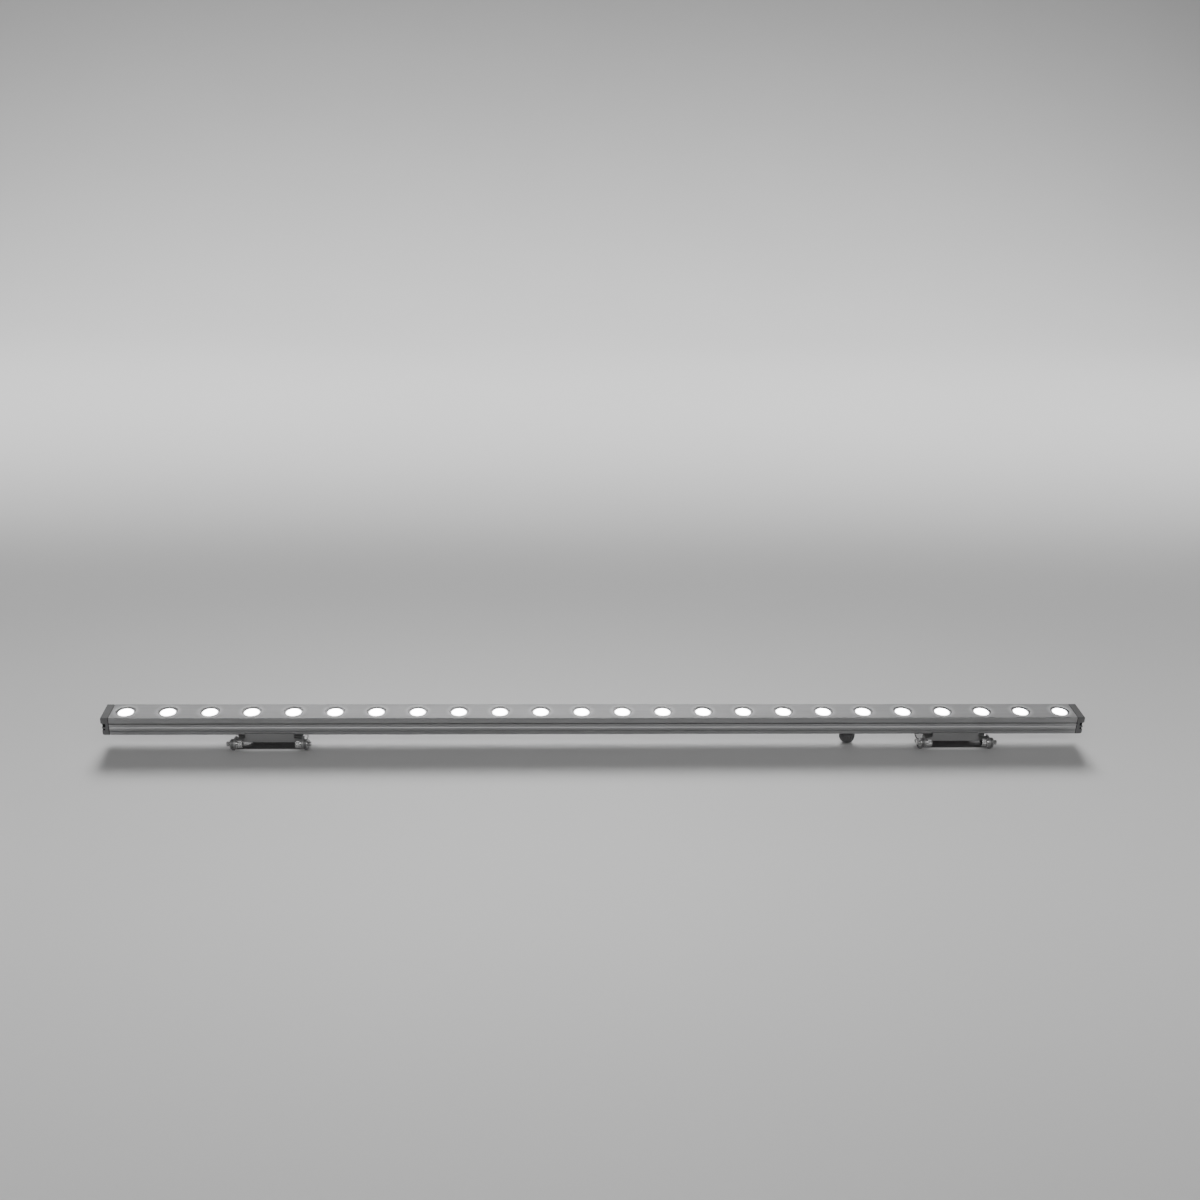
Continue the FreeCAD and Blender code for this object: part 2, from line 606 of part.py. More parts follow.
def make_gland():
    """The cable gland under the body: a hexagonal body, an O-ring, a rubber seal and a domed nut."""
    gland = body("gland_body")
    turned(gland, "XZ_Plane", "Z_Axis", [
        ("gland_cable_bore / 2", "cavity_floor"), ("gland_hole_dia / 2 - thread_gap", "cavity_floor"),
        ("gland_hole_dia / 2 - thread_gap", "-gland_flange_bottom"),
        ("gland_hole_dia / 2 - thread_gap", "-gland_stub_bottom"),
        ("gland_stub_bore / 2", "-gland_stub_bottom"),
        ("gland_stub_bore / 2", "-gland_step - gland_cone"), ("gland_cable_bore / 2", "-gland_step")])
    flange = sketch(gland, "XY_Plane", "-gland_flange_bottom")
    loop(flange, hexagon("gland_flats"))
    circle(flange, "0", "0", "gland_hole_dia - gland_join")
    pad(gland, flange, "gland_flange_bottom - gland_flange_top")
    in_gland(gland)

    ring = doc.addObject("Part::Torus", "gland_o_ring")
    ring.Label = "gland_o_ring"
    bind(ring, "Radius1", "ring_centre_dia / 2")
    bind(ring, "Radius2", "ring_section / 2")
    place(ring, "gland_x", "body_y + gland_y", "body_z - ring_section / 2")
    subparts.append(ring)

    seal = body("gland_seal")
    turned(seal, "XZ_Plane", "Z_Axis", [
        ("seal_bore / 2", "-seal_bottom"), ("seal_dia / 2 - seal_nose", "-seal_bottom"),
        ("seal_dia / 2", "-seal_bottom + seal_nose_high"),
        ("seal_dia / 2", "-seal_top"), ("seal_bore / 2", "-seal_top")])
    in_gland(seal)

    nut = body("gland_nut")
    turned(nut, "XZ_Plane", "Z_Axis", [
        ("dome_bore / 2", "-dome_top"), ("dome_dia / 2", "-dome_top"),
        ("dome_dia / 2", "-dome_bottom + dome_shoulder"),
        ("dome_dia / 2 - dome_cut", "-dome_bottom + dome_cut_high"),
        ("dome_dia / 2 - dome_face", "-dome_bottom"),
        ("dome_mouth / 2", "-dome_bottom"), ("dome_mouth / 2", "-dome_floor"),
        ("dome_bore / 2", "-dome_floor + dome_cone")])
    in_gland(nut)


# ---------------------------------------------------------------- the feet

def ear(thing, inner, outer, outline):
    """A pair of ears across X: a flat outline with a round end about the tilt axis."""
    thickness = "%s - %s" % (outer, inner)
    plate = sketch(thing, "YZ_Plane", inner)
    loop(plate, outline)
    flat = pad(thing, plate, thickness)
    end = sketch(thing, "YZ_Plane", inner)
    circle(end, "0", "0", "2 * ear_radius")
    round_end = pad(thing, end, thickness)
    return mirror(thing, [flat, round_end], "YZ_Plane")


def make_saddle(label, x):
    """The cradle that slides under the body: a web, two lips, and a front plate with ears bent forward."""
    saddle = body(label)
    bottom = "body_z - pivot_z"
    web_top = bottom + " - saddle_gap"
    web_low = web_top + " - saddle_thick"
    front = "pivot_ahead - body_width / 2 - saddle_gap"
    rear = "pivot_ahead + body_width / 2 + saddle_gap"
    web = sketch(saddle, "XY_Plane", web_low)
    loop(web, rectangle("-flange_width / 2", front + " - saddle_thick",
                        "flange_width / 2", rear + " + saddle_thick"))
    for sign in ("-", ""):
        circle(web, sign + "clamp_screw_x", "pivot_ahead", "clamp_screw_dia + clamp_hole_gap")
    pad(saddle, web, "saddle_thick")
    lip = sketch(saddle, "YZ_Plane")
    loop(lip, rectangle(rear, web_low, rear + " + saddle_thick", bottom + " + lip_rise"))
    pad(saddle, lip, "flange_width", both_ways=True)
    plate = sketch(saddle, "XZ_Plane", "-(%s)" % front)
    loop(plate, mirrored([
        ("flange_width / 2", bottom + " + lip_rise"), ("flange_width / 2", "wing_top"),
        ("saddle_ear_in - wing_relief", "wing_top"), ("saddle_ear_in - wing_relief", web_top),
        ("saddle_ear_out", web_top),
        ("saddle_ear_out", bottom + " - flange_drop")]))
    pad(saddle, plate, "saddle_thick")
    rib = sketch(saddle, "YZ_Plane")
    loop(rib, rectangle(front + " + rib_back", bottom + " - flange_drop",
                        front + " + rib_back + saddle_thick", web_top))
    pad(saddle, rib, "2 * (saddle_ear_in - wing_relief)", both_ways=True)
    ear(saddle, "saddle_ear_in", "saddle_ear_out", [
        ("-ear_lean", "ear_reach"), ("ear_lean", "-ear_reach"),
        (front, bottom + " - flange_drop"), (front, web_top)])
    fillet(saddle, "bend_radius", lambda box: box.XLength + box.YLength < TINY
           and abs(abs(box.XMin) - value("saddle_ear_out")) < TINY and abs(box.YMin - value(front)) < TINY)
    bores = sketch(saddle, "YZ_Plane")
    circle(bores, "0", "0", "bolt_dia + 2 * pivot_gap")
    pocket(saddle, bores, "2 * (saddle_ear_out + overcut)", both_ways=True)
    at_pivot(saddle, x)


def make_slot_nuts(label, x):
    """Two nuts that run in the body's T-slot."""
    nuts = body(label)
    for sign in ("-", ""):
        middle = sign + "clamp_screw_x"
        for width, low, high in (("slot_nut_neck", "0", "slot_nut_low + fit_gap"),
                                 ("slot_nut_width", "slot_nut_low", "slot_nut_high")):
            flat = sketch(nuts, "XY_Plane", low)
            loop(flat, rectangle(middle + " - slot_nut_length / 2", "-%s / 2" % width,
                                 middle + " + slot_nut_length / 2", "%s / 2" % width))
            circle(flat, middle, "0", "clamp_screw_dia")
            pad(nuts, flat, "%s - (%s)" % (high, low))
    in_body(nuts, x)


def make_clamp_screws(label, x):
    """The screws that clamp the saddle to the T-slot nuts."""
    screws = body(label)
    seat = "-saddle_gap - saddle_thick"
    for sign in ("-", ""):
        head = sketch(screws, "XY_Plane", seat + " - clamp_head_high")
        circle(head, sign + "clamp_screw_x", "0", "clamp_head_dia")
        pad(screws, head, "clamp_head_high")
        shank = sketch(screws, "XY_Plane", seat)
        circle(shank, sign + "clamp_screw_x", "0", "clamp_screw_dia - 2 * thread_gap")
        pad(screws, shank, "slot_nut_high + saddle_gap + saddle_thick")
        drive = sketch(screws, "XY_Plane", seat + " - clamp_head_high")
        loop(drive, hexagon("2.5", sign + "clamp_screw_x"))
        pocket(screws, drive, "1.4", backwards=True)
    in_body(screws, x)


def make_foot(label, x):
    """The foot: a flat plate with two fixing holes and two upright ears."""
    foot = body(label)
    plate = sketch(foot, "XY_Plane", "-pivot_z")
    inner = "foot_ear_in - foot_relief"
    loop(plate, mirrored([
        ("foot_ear_out", "foot_front"), ("foot_ear_out", "foot_ear_slope"), (inner, "foot_ear_slope"),
        (inner, "foot_rear - foot_corner"), (inner + " - foot_corner", "foot_rear")]))
    for sign in ("-", ""):
        circle(plate, sign + "foot_hole_spacing / 2", "foot_hole_y", "foot_hole_dia")
    pad(foot, plate, "foot_thick")
    ear(foot, "foot_ear_in", "foot_ear_out", [
        ("foot_front", "-pivot_z"), ("foot_ear_slope", "-pivot_z"),
        ("foot_ear_slope", "foot_thick - pivot_z + foot_ear_heel"),
        ("foot_ear_shoulder", "foot_ear_shoulder"), ("-foot_ear_nose_y", "-foot_ear_nose_z")])
    fillet(foot, "bend_radius", lambda box: box.XLength + box.ZLength < TINY
           and abs(abs(box.XMin) - value("foot_ear_out")) < TINY
           and abs(box.ZMin + value("pivot_z")) < TINY)
    bores = sketch(foot, "YZ_Plane")
    circle(bores, "0", "0", "insert_dia")
    pocket(foot, bores, "2 * (foot_ear_out + overcut)", both_ways=True)
    at_pivot(foot, x)


def both_sides(thing, points):
    """Turn an outline round the tilt axis and mirror it to the other ear."""
    feature = turned(thing, "XY_Plane", "X_Axis", points)
    return mirror(thing, [feature], "YZ_Plane")


def make_pivots(side, x):
    """The threaded inserts, washers and socket screws of one foot's two pivots."""
    inserts = body("pivot_inserts_" + side)
    both_sides(inserts, [
        ("foot_ear_in", "bolt_dia / 2 + thread_gap"), ("foot_ear_in", "insert_dia / 2 - thread_gap"),
        ("foot_ear_out", "insert_dia / 2 - thread_gap"), ("foot_ear_out", "insert_flange / 2"),
        ("foot_ear_out + insert_proud", "insert_flange / 2 - edge_break"),
        ("foot_ear_out + insert_proud", "bolt_dia / 2 + thread_gap")])
    at_pivot(inserts, x)

    washers = body("pivot_washers_" + side)
    both_sides(washers, rectangle("bolt_head_out", "bolt_dia / 2 + fit_gap", "washer_out", "washer_dia / 2"))
    at_pivot(washers, x)

    bolts = body("pivot_bolts_" + side)
    both_sides(bolts, [
        ("bolt_head_in", "0"), ("bolt_head_in", "bolt_head_dia / 2 - head_chamfer"),
        ("bolt_head_in + head_chamfer", "bolt_head_dia / 2"), ("bolt_head_out", "bolt_head_dia / 2"),
        ("bolt_head_out", "bolt_dia / 2"), ("bolt_end - tip_chamfer", "bolt_dia / 2"),
        ("bolt_end", "bolt_dia / 2 - tip_chamfer"), ("bolt_end", "0")])
    for sign, backwards in (("", True), ("-", False)):
        drive = sketch(bolts, "YZ_Plane", sign + "bolt_head_in")
        loop(drive, hexagon("socket_flats"))
        pocket(bolts, drive, "socket_depth", backwards=backwards)
    at_pivot(bolts, x)


# ---------------------------------------------------------------- the assembly

make_housing()
make_cover()
make_cover_seals()
for led in range(SIZES["led_count"]):
    make_lens(led)
make_holders()
make_emitters()
make_board("led_board_left", -1)
make_board("led_board_right", 1)
make_thermal_pads()
make_chips()
make_board_screws()
make_board_link()
make_terminal()
make_end_cap("end_cap_left", -1)
make_end_cap("end_cap_right", 1)
make_end_gaskets()
make_end_cap_screws()
make_gland()
for hand in ("left", "right"):
    station = hand + "_foot_x"
    make_saddle("saddle_" + hand, station)
    make_slot_nuts("slot_nuts_" + hand, station)
    make_clamp_screws("clamp_screws_" + hand, station)
    make_foot("foot_" + hand, station)
    make_pivots(hand, station)

doc.recompute()
for item in doc.Objects:
    if "Invalid" in item.State or "Error" in item.State:
        raise RuntimeError("%s did not recompute: %s" % (item.Label, item.State))
for item in subparts:
    if item.Shape.isNull() or not item.Shape.isValid():
        raise RuntimeError("%s has no valid shape" % item.Label)

os.makedirs("parts", exist_ok=True)
whole = FreeCAD.BoundBox()
for item in subparts:
    item.Shape.exportStep("parts/%s.step" % item.Label)
    whole.add(item.Shape.BoundBox)
print("%d sub-parts, overall %.1f x %.1f x %.1f mm"
      % (len(subparts), whole.XLength, whole.YLength, whole.ZLength))
print("lowest corner %.2f %.2f %.2f" % (whole.XMin, whole.YMin, whole.ZMin))
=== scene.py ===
import json
import math
import bmesh
import bpy
from mathutils import Matrix, Vector


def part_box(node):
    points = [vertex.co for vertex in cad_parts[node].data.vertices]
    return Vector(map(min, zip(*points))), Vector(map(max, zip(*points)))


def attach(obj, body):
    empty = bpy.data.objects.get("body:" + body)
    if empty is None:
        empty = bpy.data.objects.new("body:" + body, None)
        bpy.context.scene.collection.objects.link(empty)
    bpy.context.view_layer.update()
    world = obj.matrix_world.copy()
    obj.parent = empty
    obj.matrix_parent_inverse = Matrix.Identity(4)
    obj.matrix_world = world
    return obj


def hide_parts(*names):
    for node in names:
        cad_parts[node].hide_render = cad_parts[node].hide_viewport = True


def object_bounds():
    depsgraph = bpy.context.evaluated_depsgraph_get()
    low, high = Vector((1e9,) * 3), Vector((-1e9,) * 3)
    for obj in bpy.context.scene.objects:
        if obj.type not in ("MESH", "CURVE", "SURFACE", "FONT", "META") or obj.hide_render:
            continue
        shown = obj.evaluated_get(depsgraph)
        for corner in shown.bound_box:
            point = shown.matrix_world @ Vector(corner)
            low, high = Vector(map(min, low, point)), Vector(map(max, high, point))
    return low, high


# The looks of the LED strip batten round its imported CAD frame: the materials, the pieces that are more detailed
# than the CAD ones (lenses, pivot screws and gland nut), and the studio. Blender works in metres, and MM turns
# millimetres into metres.

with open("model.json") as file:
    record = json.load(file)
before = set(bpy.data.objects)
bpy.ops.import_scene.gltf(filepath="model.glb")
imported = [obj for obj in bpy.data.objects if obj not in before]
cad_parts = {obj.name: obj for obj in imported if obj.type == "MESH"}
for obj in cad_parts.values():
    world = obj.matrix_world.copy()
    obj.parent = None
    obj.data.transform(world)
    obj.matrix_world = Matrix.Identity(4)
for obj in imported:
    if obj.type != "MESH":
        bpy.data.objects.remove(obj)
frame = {"nodes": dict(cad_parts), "record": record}
CAD_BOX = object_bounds()
MM = 0.001
NODES = frame["nodes"]
SLOT_OF = {entry["node"]: entry["material_slot"] for entry in frame["record"]["subparts"]}
BODY_OF = {node: body for body, members in frame["record"]["behaviour"]["bodies"].items()
           for node in members}
LENS_NAMES = sorted(name for name in NODES if name.startswith("lens_") and name[5:].isdigit())


def middle_of(name):
    """The middle of a CAD node's box."""
    low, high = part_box(name)
    return (low + high) / 2


TOP_Z = CAD_BOX[1][2]
COVER_LOW_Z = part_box("face_cover")[0].z
LED_PITCH = middle_of(LENS_NAMES[1]).x - middle_of(LENS_NAMES[0]).x
LENS_ROW_Y = middle_of(LENS_NAMES[0]).y
LENS_HOLE = 19.6 * MM                                       # across the cover's round openings
LENS_BRIGHT = 7.5 * MM                                      # the radius where a lens's bright disc ends
BODY_Y = middle_of("housing").y
BODY_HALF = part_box("housing")[1].y - BODY_Y
CAP_FACE = CAD_BOX[1][0] - 0.8 * MM                         # the caps' end faces, under their lips
FOOT_FRONT = middle_of("pivot_bolts_left").y + 4.5 * MM     # the front edge of the foot plates
FOOT_THICK = 2.0 * MM


# ---------------------------------------------------------------- node helpers

NOISE_RANGE = (0.3, 0.7)        # where most of a noise's values lie


class Nodes:
    """A material with short calls for adding and joining its nodes."""

    def __init__(self, name):
        self.material = bpy.data.materials.new(name)
        self.material.use_nodes = True
        self.tree = self.material.node_tree
        self.tree.nodes.clear()
        output = self.tree.nodes.new("ShaderNodeOutputMaterial")
        self.shader = self.tree.nodes.new("ShaderNodeBsdfPrincipled")
        self.feed(self.shader.outputs[0], output.inputs["Surface"])
        self.place = self.tree.nodes.new("ShaderNodeTexCoord").outputs["Object"]

    def feed(self, given, socket):
        """Join a node's output to a socket, or set the socket to a plain value."""
        if isinstance(given, bpy.types.NodeSocket):
            self.tree.links.new(given, socket)
        else:
            socket.default_value = given

    def add(self, kind, inputs, **settings):
        """A new node with its settings made and its inputs fed."""
        node = self.tree.nodes.new(kind)
        for key, setting in settings.items():
            setattr(node, key, setting)
        for key, given in inputs.items():
            self.feed(given, node.inputs[key])
        return node

    def set(self, **inputs):
        """Feed the shader's own sockets, with spaces written as underscores."""
        for key, given in inputs.items():
            self.feed(given, self.shader.inputs[key.replace("_", " ")])

    def axes(self):
        """The object coordinates X, Y and Z."""
        return self.add("ShaderNodeSeparateXYZ", {0: self.place}).outputs

    def mapped(self, scale):
        """Object coordinates stretched by a scale per axis, in cycles per metre."""
        return self.add("ShaderNodeMapping", {"Vector": self.place, "Scale": scale}).outputs[0]

    def noise(self, scale, detail=4.0, roughness=0.55):
        """A noise value whose grain can differ along each axis."""
        return self.add("ShaderNodeTexNoise", {"Vector": self.mapped(scale), "Scale": 1.0, "Detail": detail,
                                               "Roughness": roughness}).outputs["Fac"]

    def span(self, source, low, high, source_low=0.0, source_high=1.0):
        """A value moved from one range to another, and held at its ends."""
        return self.add("ShaderNodeMapRange", {"Value": source, "To Min": low, "To Max": high,
                                               "From Min": source_low, "From Max": source_high}).outputs[0]

    def rising(self, source, start, end):
        """Nothing up to the start, and 1 from the end on."""
        return self.span(source, 0.0, 1.0, start, end)

    def falling(self, source, start, end):
        """1 up to the start, and nothing from the end on."""
        return self.span(source, 1.0, 0.0, start, end)

    def varied(self, noise, low, high):
        """A value that follows a noise from low to high."""
        return self.span(noise, low, high, *NOISE_RANGE)

    def maths(self, operation, first, second=0.0):
        return self.add("ShaderNodeMath", {0: first, 1: second}, operation=operation).outputs[0]

    def product(self, first, *others):
        for other in others:
            first = self.maths("MULTIPLY", first, other)
        return first

    def blend(self, *weighted):
        """The sum of sources, each given with its weight."""
        parts = [self.product(source, weight) for source, weight in weighted]
        total = parts[0]
        for part in parts[1:]:
            total = self.maths("ADD", total, part)
        return total

    def distance(self, first, second):
        """The length of a two-part offset."""
        return self.maths("SQRT", self.maths("ADD", self.product(first, first), self.product(second, second)))

    def shade(self, source, dark, light):
        """A colour between two colours."""
        mix = self.add("ShaderNodeMix", {"Factor": source}, data_type="RGBA")
        mix.inputs["A"].default_value = (*dark, 1)
        mix.inputs["B"].default_value = (*light, 1)
        return mix.outputs["Result"]

    def bump(self, height, distance, strength=0.5):
        inputs = {"Height": height, "Distance": distance, "Strength": strength}
        return self.add("ShaderNodeBump", inputs).outputs[0]


# ---------------------------------------------------------------- materials

WHITE = (1.0, 1.0, 1.0, 1)
NEAR_BLACK = (0.008, 0.008, 0.008)
SHADED_COVER = (0.13, 0.13, 0.131)
# Painted shade: the dark colour of the feet's plate.
PLATE_PAINTED_SHADE = (0.05, 0.05, 0.051)
# Painted highlight: the pale colour along the feet's front edge.
EDGE_PAINTED_HIGHLIGHT = (0.88, 0.88, 0.88)


def finish_aluminium(m, dark, light, rough):
    """Satin anodised aluminium with the fine drawing lines of an extrusion along X."""
    lines = m.noise((0.8, 5200, 5200), detail=3)
    broad = m.noise((0.2, 420, 420), detail=2)
    blotch = m.noise((35, 90, 90), detail=5)
    mixed = m.blend((lines, 0.5), (broad, 0.3), (blotch, 0.2))
    m.set(Base_Color=m.shade(mixed, dark, light), Metallic=0.85,
          Roughness=m.varied(mixed, rough - 0.07, rough + 0.09),
          Normal=m.bump(lines, 0.01 * MM, 0.3))


def anodised(name, dark, light, rough):
    """Plain satin anodised aluminium."""
    m = Nodes(name)
    finish_aluminium(m, dark, light, rough)
    return m.material


def lit_cover(name, dark, light, rough):
    """The cover's satin aluminium, with a shaded top and the light that spills on it round every lens."""
    m = Nodes(name)
    finish_aluminium(m, dark, light, rough)
    x, y, z = m.axes()
    step = m.maths("FRACT", m.maths("DIVIDE", x, LED_PITCH))
    along = m.product(m.maths("SUBTRACT", step, 0.5), LED_PITCH)
    reach = m.distance(along, m.maths("SUBTRACT", y, LENS_ROW_Y))
    near = m.falling(reach, LENS_HOLE / 2, LENS_HOLE / 2 + 5.5 * MM)
    top = m.rising(z, TOP_Z - 0.4 * MM, TOP_Z - 0.2 * MM)
    streaks = m.noise((14, 900, 900), detail=3)
    m.set(Base_Color=m.shade(m.blend((top, 0.8), (streaks, 0.2)), light, SHADED_COVER),
          Emission_Color=WHITE, Emission_Strength=m.product(m.maths("POWER", near, 2.0), top, 0.16))
    return m.material


def brushed(name, dark, light, rough):
    """Brushed steel: short fine scratches along X, and slight handling marks."""
    m = Nodes(name)
    scratch = m.noise((120, 5000, 5000), detail=5)
    marks = m.noise((160, 160, 160), detail=6, roughness=0.65)
    mixed = m.blend((scratch, 0.6), (marks, 0.4))
    m.set(Base_Color=m.shade(mixed, dark, light), Metallic=1.0,
          Roughness=m.varied(mixed, rough - 0.08, rough + 0.1),
          Normal=m.bump(scratch, 0.02 * MM, 0.3))
    return m.material


def turned_steel(name):
    """Bright turned stainless steel."""
    m = Nodes(name)
    rings = m.noise((9000, 700, 700), detail=2)
    haze = m.noise((300, 300, 300), detail=5)
    m.set(Base_Color=m.shade(haze, (0.52, 0.52, 0.52), (0.64, 0.64, 0.638)), Metallic=1.0,
          Roughness=m.varied(haze, 0.13, 0.24), Normal=m.bump(rings, 0.01 * MM, 0.3))
    return m.material


def dark_feet(name):
    """A dark satin plate whose darkness is painted shade, a painted highlight along its pale front edge, and ears
    a little lighter and partly metallic.
    """
    m = Nodes(name)
    haze = m.noise((500, 500, 500), detail=5)
    grain = m.noise((2600, 2600, 2600), detail=2)
    _, y, z = m.axes()
    # front and low mark the plate's front edge, where a painted highlight goes; the rest of the plate is painted
    # shade.
    front = m.falling(y, FOOT_FRONT + 0.45 * MM, FOOT_FRONT + 0.55 * MM)
    low = m.falling(z, FOOT_THICK, FOOT_THICK + 0.1 * MM)
    ears = m.span(z, 0.0, 0.18, FOOT_THICK + 0.6 * MM, FOOT_THICK + 1.2 * MM)
    m.set(Base_Color=m.shade(m.maths("MAXIMUM", m.product(front, low), ears), PLATE_PAINTED_SHADE, EDGE_PAINTED_HIGHLIGHT),
          Metallic=m.product(ears, 3.0),
          Roughness=m.varied(haze, 0.34, 0.5), Normal=m.bump(grain, 0.012 * MM, 0.3))
    return m.material


def finish_plastic(m, dark, light, rough, grain=2600.0, depth=0.03, sheen=0.45):
    """Moulded plastic with a fine spark-eroded grain. Returns the noise that clouds its colour."""
    spark = m.noise((grain, grain, grain), detail=3)
    cloud = m.noise((70, 70, 70), detail=4)
    m.set(Base_Color=m.shade(cloud, dark, light), Roughness=m.varied(cloud, rough - 0.05, rough + 0.06),
          Normal=m.bump(spark, depth * MM, 0.5), Specular_IOR_Level=sheen)
    return cloud


def moulded(name, *finish):
    """Plain moulded plastic or rubber."""
    m = Nodes(name)
    finish_plastic(m, *finish)
    return m.material


def cap_plastic(name, dark, light, rough):
    """The caps' grey plastic, with painted shade: a darker top, and near black in the recesses of the front and
    back faces.
    """
    m = Nodes(name)
    cloud = finish_plastic(m, dark, light, rough, sheen=0.15)
    x, y, z = m.axes()
    sideways = m.maths("ABSOLUTE", m.maths("SUBTRACT", y, BODY_Y))
    # The top mask and the recess mask below carry painted shade on the cap's top and in its recesses.
    top = m.rising(z, TOP_Z - 0.7 * MM, TOP_Z - 0.2 * MM)
    sunk = m.falling(sideways, BODY_HALF - 0.5 * MM, BODY_HALF - 0.1 * MM)
    within = m.falling(m.maths("ABSOLUTE", x), CAP_FACE - 0.25 * MM, CAP_FACE - 0.1 * MM)
    below = m.falling(z, COVER_LOW_Z, COVER_LOW_Z + 0.2 * MM)
    # How far the colour goes towards near black: painted shade on the top and in the recesses, and a little
    # random clouding.
    painted_shade = m.maths("MAXIMUM", m.product(top, 0.62), m.product(sunk, within, below, 0.95))
    painted_shade = m.maths("MAXIMUM", painted_shade, m.product(cloud, 0.15))
    m.set(Base_Color=m.shade(painted_shade, light, NEAR_BLACK))
    return m.material


def lit_lens(name):
    """A frosted, finely faceted lens lit from inside, hottest in the middle, with a dim rim."""
    m = Nodes(name)
    x, y, _ = m.axes()
    reach = m.distance(x, y)
    cells = m.add("ShaderNodeTexVoronoi", {"Vector": m.mapped((1300, 1300, 300)), "Scale": 1.0},
                  feature="SMOOTH_F1").outputs["Distance"]
    glow = m.product(m.span(reach, 26.0, 12.0, 1.0 * MM, LENS_BRIGHT),
                     m.span(reach, 1.0, 0.03, LENS_BRIGHT - 0.15 * MM, LENS_BRIGHT),
                     m.span(cells, 1.1, 0.85))
    m.set(Base_Color=(0.9, 0.92, 0.94, 1), Roughness=0.25, Emission_Color=WHITE, Emission_Strength=glow,
          Normal=m.bump(cells, 0.15 * MM))
    return m.material


def glazed(name, colour, rough):
    """Small clear or coated electronic parts, with slight mottling."""
    m = Nodes(name)
    cloud = m.noise((500, 500, 500), detail=3)
    lighter = tuple(min(1.0, channel * 1.15 + 0.01) for channel in colour)
    m.set(Base_Color=m.shade(cloud, colour, lighter), Roughness=m.span(cloud, rough - 0.05, rough + 0.05))
    return m.material


def floor_material():
    """The pale studio floor."""
    m = Nodes("studio_floor")
    cloud = m.noise((3, 3, 3), detail=2)
    m.set(Base_Color=m.shade(cloud, (0.60, 0.60, 0.60), (0.63, 0.63, 0.63)), Roughness=0.55,
          Specular_IOR_Level=0.25)
    return m.material


MATERIALS = {
    "body_aluminium": anodised("anodised_body", (0.37, 0.37, 0.375), (0.45, 0.45, 0.455), 0.42),
    "cover": lit_cover("anodised_cover", (0.34, 0.34, 0.345), (0.46, 0.46, 0.465), 0.62),
    "feet": dark_feet("dark_feet"),
    "cap_plastic": cap_plastic("cap_grey", (0.16, 0.16, 0.162), (0.195, 0.195, 0.198), 0.55),
    "black_rubber": moulded("black_rubber", (0.016, 0.016, 0.016), (0.026, 0.026, 0.026), 0.72, 1800, 0.05),
    "black_plastic": moulded("black_plastic", (0.014, 0.014, 0.015), (0.024, 0.024, 0.026), 0.38),
    "gland": moulded("gland_grey", (0.10, 0.10, 0.102), (0.13, 0.13, 0.132), 0.42),
    "lens_glass": lit_lens("lit_lens"),
    "emitter": glazed("emitter", (0.85, 0.76, 0.35), 0.25),
    "board": glazed("board", (0.80, 0.82, 0.82), 0.4),
    "thermal_pad": glazed("thermal_pad", (0.38, 0.44, 0.50), 0.7),
    "chip": glazed("chip", (0.03, 0.03, 0.033), 0.45),
    "steel": turned_steel("turned_steel"),
    "bracket_steel": brushed("brushed_bracket", (0.36, 0.36, 0.365), (0.48, 0.48, 0.48), 0.5),
    "copper_lead": glazed("lead", (0.45, 0.04, 0.03), 0.4),
}
# The nodes that look different from the rest of their material slot.
OWN_MATERIAL = {"face_cover": "cover", "foot_left": "feet", "foot_right": "feet", "gland_body": "gland",
                "gland_nut": "gland"}


def material_of(node):
    """The material of a CAD node, or of the piece that stands for it."""
    return MATERIALS[OWN_MATERIAL.get(node, SLOT_OF[node])]


def finish_cad_node(name, node):
    """Give a carried-over CAD node its material and softened edges."""
    node.data.materials.clear()
    node.data.materials.append(material_of(name))
    bevel = node.modifiers.new("soft_edges", "BEVEL")
    bevel.width = 0.12 * MM
    bevel.segments = 2
    bevel.limit_method = "ANGLE"
    bevel.angle_limit = math.radians(32)
    bevel.harden_normals = True


for node_name, cad_node in NODES.items():
    finish_cad_node(node_name, cad_node)


# ---------------------------------------------------------------- detailed pieces, with sizes in millimetres

SMOOTH_ANGLE = math.radians(35)


def lathe(bm, profile, segments, frame_matrix):
    """Turn rows of (height, reach) about the matrix's Z axis. A reach can be a function (angle, height)."""
    rows = []
    for height, reach in profile:
        row = []
        for step in range(segments):
            angle = 2 * math.pi * step / segments
            out = reach(angle, height) if callable(reach) else reach
            point = Vector((out * math.cos(angle), out * math.sin(angle), height)) * MM
            row.append(bm.verts.new(frame_matrix @ point))
            if out == 0:
                break
        rows.append(row)
    for lower, upper in zip(rows, rows[1:]):
        for step in range(segments):
            after = (step + 1) % segments
            ends = [lower[step % len(lower)], lower[after % len(lower)],
                    upper[after % len(upper)], upper[step % len(upper)]]
            corners = list(dict.fromkeys(ends))
            if len(corners) > 2:
                bm.faces.new(corners)


def finish_piece(name, bm, replaced, origin=None):
    """Turn a built mesh into a piece that stands for a CAD node and rides on its body."""
    bmesh.ops.recalc_face_normals(bm, faces=bm.faces)
    for face in bm.faces:
        face.smooth = True
    for edge in bm.edges:
        sharp = len(edge.link_faces) == 2 and edge.calc_face_angle(0) > SMOOTH_ANGLE
        edge.smooth = not sharp
    mesh = bpy.data.meshes.new(name)
    bm.to_mesh(mesh)
    bm.free()
    mesh.materials.append(material_of(replaced))
    piece = bpy.data.objects.new(name, mesh)
    bpy.context.scene.collection.objects.link(piece)
    if origin is not None:
        piece.location = origin
    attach(piece, BODY_OF[replaced])
    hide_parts(replaced)


